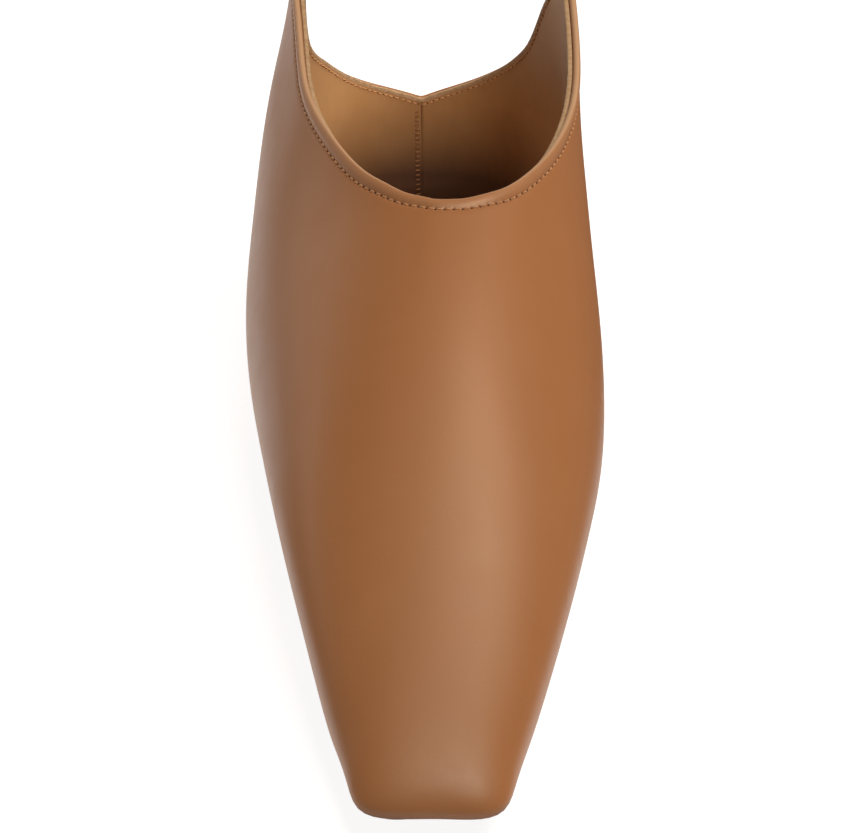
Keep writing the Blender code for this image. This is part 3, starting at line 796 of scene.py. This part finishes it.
def stitches_on_topline(thread, dark):
    points, normal, _ = face_line(STITCH_AT, t_at_depth(controls_at(STITCH_AT), [STITCH_DEPTH])[0])
    along = unit(np.roll(points, -1, axis=0) - np.roll(points, 1, axis=0))
    across = unit(np.cross(normal, along))
    middle = 0.5 * (points + np.roll(points, -1, axis=0)) - normal * STITCH_SINK
    stitches = (middle, *turned(along, across, STITCH_SLANT), normal)
    holes = (points - normal * HOLE_SINK, along, across, normal)
    lay_copies("topline_stitches", stitch_shape(*TOPLINE_STITCH), stitches, thread)
    lay_copies("topline_needle_holes", bead_shape(*TOPLINE_HOLE), holes, dark)


def stitches_round_window(loop, thread, dark):
    points, normal, into, along = loop
    run = run_along(closed(points))
    count = int(round(run[-1] / WINDOW_PITCH))

    def nearest(turns):
        return np.searchsorted(run, turns / count * run[-1]) % len(points)

    at_holes, at_stitches = nearest(np.arange(count)), nearest(np.arange(count) + 0.5)
    for side, sign, inward, outside in WINDOW_ROWS:
        def spots(k, lift):
            up = normal[k] * sign
            centre = points[k] + into[k] * inward + normal[k] * outside + up * lift
            return centre, along[k], unit(np.cross(up, along[k])), up

        stitches, holes = spots(at_stitches, THREAD_RAISE), spots(at_holes, 0.0)
        lay_copies(f"window_stitches_{side}", stitch_shape(*WINDOW_STITCH), stitches, thread)
        lay_copies(f"window_needle_holes_{side}", bead_shape(*WINDOW_HOLE), holes, dark)


def seam_stitches(thread):
    """Bars of thread beside the seam at the centre back, on the lining."""
    heights = np.arange(SEAM_LOWEST, EDGE_OUTER[0] - SEAM_TOP_GAP, SEAM_PITCH)
    at = np.full(len(heights), SEAM_BESIDE)
    points, normal, up = face_line(at, t_at_height(controls_at(at), heights))
    bar, side = turned(unit(np.cross(normal, up)), up, SEAM_SLANT)
    spots = (points - normal * (LINING_OFFSET - THREAD_RAISE), bar, side, -normal)
    lay_copies("back_seam_stitches", stitch_shape(*SEAM_STITCH), spots, thread)


# ---- sole and sock lining ----
def inset_outline(inset):
    """The feather line in plan, drawn in. Its second column is the station."""
    at = np.linspace(0, FULL, OUTLINE_POINTS, endpoint=False)
    return loop_through(FEET, KNOTS, at) - outward(at) * inset


def edges_at(outline, stations):
    """x of the outline's outer and inner side at each station."""
    toe, heel = np.argmin(outline[:, 1]), np.argmax(outline[:, 1])
    ring = np.roll(outline, -heel, axis=0)
    split = (toe - heel) % len(ring)
    outer, inner = ring[: split + 1][::-1], ring[split:]
    return [np.interp(stations, side[:, 1], side[:, 0]) for side in (outer, inner)]


def spine_of(outline):
    """Where on its long middle line each of the outline's points goes as the outline shrinks."""
    toe, heel = outline[:, 1].min(), outline[:, 1].max()
    station = np.clip(outline[:, 1], toe + SPINE_FROM_TOE, heel - SPINE_FROM_HEEL)
    return np.column_stack([0.5 * sum(edges_at(outline, station)), station])


def sole_thickness(station):
    return smooth_through([-0.01, 0.0, SOLE_FULL_FROM, LENGTH], [SOLE_AT_TOE] * 2 + [SOLE] * 2, station)


def make_plate(name, outline, section, dish, finish):
    """A plate with a rounded edge that follows the feather line's height.

    section lists (inset, lift, share) from its top, round its edge, to its underside. Each makes a ring at
    that inset from the outline and that lift above the feather line, less that share of the sole's
    thickness. The middle of its top lies lower than its edge by dish.
    """
    tangent = np.roll(outline, -1, axis=0) - np.roll(outline, 1, axis=0)
    normal = unit(np.column_stack([tangent[:, 1], -tangent[:, 0]]))

    def ring(plan, lift, share):
        station = plan[:, 1]
        return np.column_stack([plan, feather_height(station) + lift - sole_thickness(station) * share])

    edge = [ring(outline - normal * inset, lift, share) for inset, lift, share in section]
    shrink = np.arange(CLOSING_RINGS, 0, -1) / CLOSING_RINGS

    def shrunk(rim, row, by, dish=0.0):
        """A ring of one of the plate's two faces, shrunk from the rim towards its middle line."""
        _, lift, share = row
        plan = rim[:, :2]
        return ring(plan + (spine_of(plan) - plan) * by, lift - dish * (1 - (1 - by) ** 6), share)

    over = [shrunk(edge[0], section[0], by, dish) for by in shrink]
    under = [shrunk(edge[-1], section[-1], by) for by in shrink[::-1]]
    rings = np.array(over + edge + under) - (0.0, BALL_STATION, 0.0)
    return add_piece(name, rings, grid_faces(len(rings), len(outline), flip=True), finish)


def make_soles(sock, sole):
    outline = inset_outline(SOCK_INSET)
    insole = make_plate("sock_lining", outline, SOCK_SECTION, SOCK_DISH, sock)
    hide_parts("insole")
    outline = inset_outline(SOLE_INSET)
    piece = make_plate("sole", outline, SOLE_SECTION, 0.0, sole)
    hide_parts("outsole")


# ---- materials ----
def colour(name):
    """A named colour in linear light, with full alpha."""
    c = np.array(COLOURS[name]) / 255
    c = np.where(c <= 0.04045, c / 12.92, ((c + 0.055) / 1.055) ** 2.4)
    return (*c.tolist(), 1.0)


class Shader:
    """A material and short ways to add nodes to it."""

    def __init__(self, name, **settings):
        self.material = bpy.data.materials.new(name)
        self.material.use_nodes = True
        self.tree = self.material.node_tree
        self.surface = self.tree.nodes["Principled BSDF"]
        for key, value in settings.items():
            self.surface.inputs[key.replace("_", " ")].default_value = value
        self.place = self.node("ShaderNodeTexCoord").outputs["Object"]

    def node(self, kind, inputs=None, **settings):
        made = self.tree.nodes.new(kind)
        for key, value in settings.items():
            setattr(made, key, value)
        for key, value in (inputs or {}).items():
            if isinstance(value, bpy.types.NodeSocket):
                self.tree.links.new(value, made.inputs[key])
            else:
                made.inputs[key].default_value = value
        return made

    def noise(self, scale, detail=2.0, rough=0.5, stretch=None):
        """Noise from 0 to 1, with about scale features to the metre."""
        place = self.place
        if stretch is not None:
            place = self.node("ShaderNodeMapping", {"Vector": place, "Scale": stretch}).outputs[0]
        inputs = {"Vector": place, "Scale": scale, "Detail": detail, "Roughness": rough}
        return self.node("ShaderNodeTexNoise", inputs).outputs["Fac"]

    def cells(self, scale):
        inputs = {"Vector": self.place, "Scale": scale}
        return self.node("ShaderNodeTexVoronoi", inputs, feature="SMOOTH_F1").outputs["Distance"]

    def scaled(self, value, from_low, from_high, low, high):
        """A value's range from from_low to from_high, brought to low to high."""
        inputs = {0: value, 1: from_low, 2: from_high, 3: low, 4: high}
        return self.node("ShaderNodeMapRange", inputs).outputs[0]

    def add(self, a, b):
        return self.node("ShaderNodeMath", {0: a, 1: b}, operation="ADD").outputs[0]

    def mix(self, factor, a, b):
        return self.node("ShaderNodeMix", {0: factor, 6: a, 7: b}, data_type="RGBA").outputs[2]

    def shade(self):
        return self.node("ShaderNodeAttribute", attribute_name="shade").outputs["Fac"]

    def bump(self, height, distance, strength, below=None):
        inputs = {"Height": height, "Distance": distance, "Strength": strength}
        if below is not None:
            inputs["Normal"] = below
        return self.node("ShaderNodeBump", inputs).outputs[0]

    def link(self, value, name):
        self.tree.links.new(value, self.surface.inputs[name])


def tan_leather():
    """Smooth calf: faint clouds and mottles, fine pebbles and pores, with painted shade and painted highlight
    by "shade".
    """
    s = Shader("tan_leather", Specular_IOR_Level=0.5, IOR=1.47)
    dark, light = colour("tan_dark"), colour("tan_light")
    cloud = s.noise(16, 2, 0.5)
    mottle = s.noise(150, 4, 0.6)
    pebbles = s.cells(1500)
    pores = s.noise(2600, 3, 0.6)
    base = s.mix(s.scaled(cloud, 0.3, 0.7, 0.25, 0.75), dark, light)
    base = s.mix(0.35, colour("tan"), base)
    base = s.mix(s.scaled(mottle, 0.35, 0.7, 0.0, 0.10), base, light)
    base = s.mix(s.scaled(pebbles, 0.05, 0.5, 0.12, 0.0), base, dark)
    # painted shade where "shade" is above 0
    base = s.mix(s.shade(), base, colour("tan_painted_shade"))
    # a painted highlight along the roll's crest, and paler over the roll, where "shade" is below 0
    base = s.mix(s.scaled(s.shade(), 0.0, -1.0, 0.0, 1.0), base, colour("tan_pale_highlight"))
    s.link(base, "Base Color")
    # it is rougher under the painted shade, which dims its reflections
    grip = s.scaled(s.shade(), 0.0, 1.0, 0.0, TAN_SHADE_ROUGH)
    polish = s.scaled(s.add(mottle, cloud), 0.7, 1.3, TAN_ROUGH - 0.04, TAN_ROUGH + 0.05)
    s.link(s.add(grip, polish), "Roughness")
    soft = s.bump(s.noise(45, 2), 0.05 * MM, 0.5)
    s.link(s.bump(pores, 0.015 * MM, 0.7, s.bump(pebbles, 0.015 * MM, 0.6, soft)), "Normal")
    return s.material


def lining_leather():
    """Unglazed leather with a short nap that runs up the wall, with painted shade by "shade"."""
    s = Shader("lining_leather", Specular_IOR_Level=0.35, Sheen_Weight=0.35, Sheen_Roughness=0.45)
    s.surface.inputs["Sheen Tint"].default_value = colour("lining_sheen")
    cloud = s.noise(28, 4, 0.6)
    nap = s.noise(420, 4, 0.65, stretch=(1.0, 1.0, 0.35))
    base = s.mix(s.scaled(cloud, 0.32, 0.68, 0, 1), colour("lining"), colour("lining_light"))
    base = s.mix(s.scaled(nap, 0.35, 0.7, 0.0, 0.25), base, colour("lining_nap"))
    # painted shade where "shade" is above 0
    base = s.mix(s.shade(), base, colour("lining_painted_shade"))
    s.link(base, "Base Color")
    s.link(s.scaled(nap, 0.3, 0.7, 0.62, 0.78), "Roughness")
    s.link(s.bump(nap, 0.06 * MM, 0.7), "Normal")
    return s.material


def plain(name, a, b, rough, scale=600.0, distance=0.03 * MM):
    """A finish of two close colours with a fine bump."""
    s = Shader(name)
    texture = s.noise(scale, 4, 0.6)
    s.link(s.mix(s.scaled(texture, 0.35, 0.65, 0, 1), colour(a), colour(b)), "Base Color")
    s.link(s.scaled(texture, 0.3, 0.7, rough - 0.05, rough + 0.06), "Roughness")
    s.link(s.bump(texture, distance, 0.7), "Normal")
    return s.material


def stack_finish():
    """Stacked heel leather: thin level layers."""
    s = Shader("stacked_leather", Coat_Weight=0.15)
    inputs = {"Vector": s.place, "Scale": 160.0, "Distortion": 0.6, "Detail": 2.0}
    level = s.node("ShaderNodeTexWave", inputs, bands_direction="Z").outputs["Fac"]
    s.link(s.mix(s.scaled(level, 0.2, 0.8, 0, 1), colour("stack_dark"), colour("stack_light")), "Base Color")
    s.link(s.scaled(level, 0, 1, 0.36, 0.46), "Roughness")
    s.link(s.bump(level, 0.06 * MM, 0.6), "Normal")
    return s.material


# ---- stage ----
def flat_object(name, corners, material):
    data = bpy.data.meshes.new(name)
    data.from_pydata(corners, [], [(0, 1, 2, 3)])
    data.materials.append(material)
    return in_scene(name, data)


def make_floor():
    paper = Shader("floor_paper", Roughness=0.9, Emission_Strength=FLOOR_GLOW)
    paper.surface.inputs["Base Color"].default_value = colour("paper")
    paper.surface.inputs["Emission Color"].default_value = (1.0, 1.0, 1.0, 1.0)
    corners = [(x * FLOOR_SIDE, y * FLOOR_SIDE, 0) for x, y in ((-1, -1), (1, -1), (1, 1), (-1, 1))]
    floor = flat_object("floor", corners, paper.material)


def make_world():
    """A pale room, a little brighter on the left."""
    world = bpy.data.worlds.new("studio")
    bpy.context.scene.world = world
    world.use_nodes = True
    tree = world.node_tree
    view = tree.nodes.new("ShaderNodeTexCoord")
    split = tree.nodes.new("ShaderNodeSeparateXYZ")
    tree.links.new(view.outputs["Generated"], split.inputs[0])
    fade = tree.nodes.new("ShaderNodeMapRange")
    fade.interpolation_type = "SMOOTHSTEP"
    for key, value in enumerate((*WORLD_FADE, WORLD_LEFT, WORLD_RIGHT), start=1):
        fade.inputs[key].default_value = value
    tree.links.new(split.outputs["X"], fade.inputs[0])
    tree.links.new(fade.outputs[0], tree.nodes["Background"].inputs["Strength"])


def make_lamps():
    for name, place, aim, size, spread, power, tint, diffuse, glossy in LAMPS:
        lamp = bpy.data.lights.new(name, "AREA")
        lamp.shape = "RECTANGLE"
        lamp.size, lamp.size_y = size
        lamp.spread = np.radians(spread)
        lamp.energy = power
        lamp.color = tint
        holder = in_scene(name, lamp)
        holder.location = place
        holder.visible_camera = False
        holder.visible_diffuse, holder.visible_glossy = diffuse, glossy
        holder.rotation_euler = (Vector(aim) - Vector(place)).to_track_quat("-Z", "Y").to_euler()


def make_screens():
    for name, x, front, back, height in SCREENS:
        paint = Shader(name, Roughness=1.0)
        paint.surface.inputs["Base Color"].default_value = colour(name)
        corners = [(x, front, 0), (x, back, 0), (x, back, height), (x, front, height)]
        screen = flat_object(name, corners, paint.material)
        for key in ("visible_camera", "visible_diffuse", "visible_shadow", "visible_transmission"):
            setattr(screen, key, False)


def make_camera():
    lens = bpy.data.cameras.new("camera")
    lens.sensor_width = CAMERA_SENSOR
    lens.lens = CAMERA_LENS
    lens.clip_start = 0.01
    camera = in_scene("camera", lens)
    away = Vector((0, -np.cos(CAMERA_ELEVATION), np.sin(CAMERA_ELEVATION)))
    camera.location = CAMERA_AIM + away * CAMERA_DISTANCE
    camera.rotation_euler = (CAMERA_AIM - camera.location).to_track_quat("-Z", "Y").to_euler()
    bpy.context.scene.camera = camera


def main():
    make_camera()
    make_floor()
    make_world()
    make_lamps()
    make_screens()
    tan = tan_leather()
    lining = lining_leather()
    raw_edge = plain("raw_lining_edge", "raw_edge", "raw_edge_dark", 0.75, 900)
    thread = plain("thread", "thread", "thread_dark", 0.7, 3000, 0.05 * MM)
    seam_thread = plain("seam_thread", "seam_thread", "seam_thread_dark", 0.75, 3000, 0.05 * MM)
    # the needle holes' dark colour is painted shade
    dark = plain("needle_hole", "hole", "hole_dark", 0.9)
    sole = plain("sole_leather", "sole", "sole_dark", 0.55, 90)
    rubber = plain("black_rubber", "rubber", "rubber_light", 0.65, 1200)

    skin = make_skin(tan)
    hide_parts("upper")
    make_lining(lining, raw_edge)
    loop = window_loop()
    sweep_section("window_fold", loop, WINDOW_FOLD, tan)
    sweep_section("window_lining_edge", loop, WINDOW_LINING, raw_edge)
    stitches_on_topline(thread, dark)
    stitches_round_window(loop, thread, dark)
    seam_stitches(seam_thread)
    make_soles(lining, sole)
    for node, finish in (("heel", stack_finish()), ("top_lift", rubber)):
        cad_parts[node].data.materials.clear()
        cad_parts[node].data.materials.append(finish)
    bpy.context.scene.view_settings.view_transform = "Standard"


main()
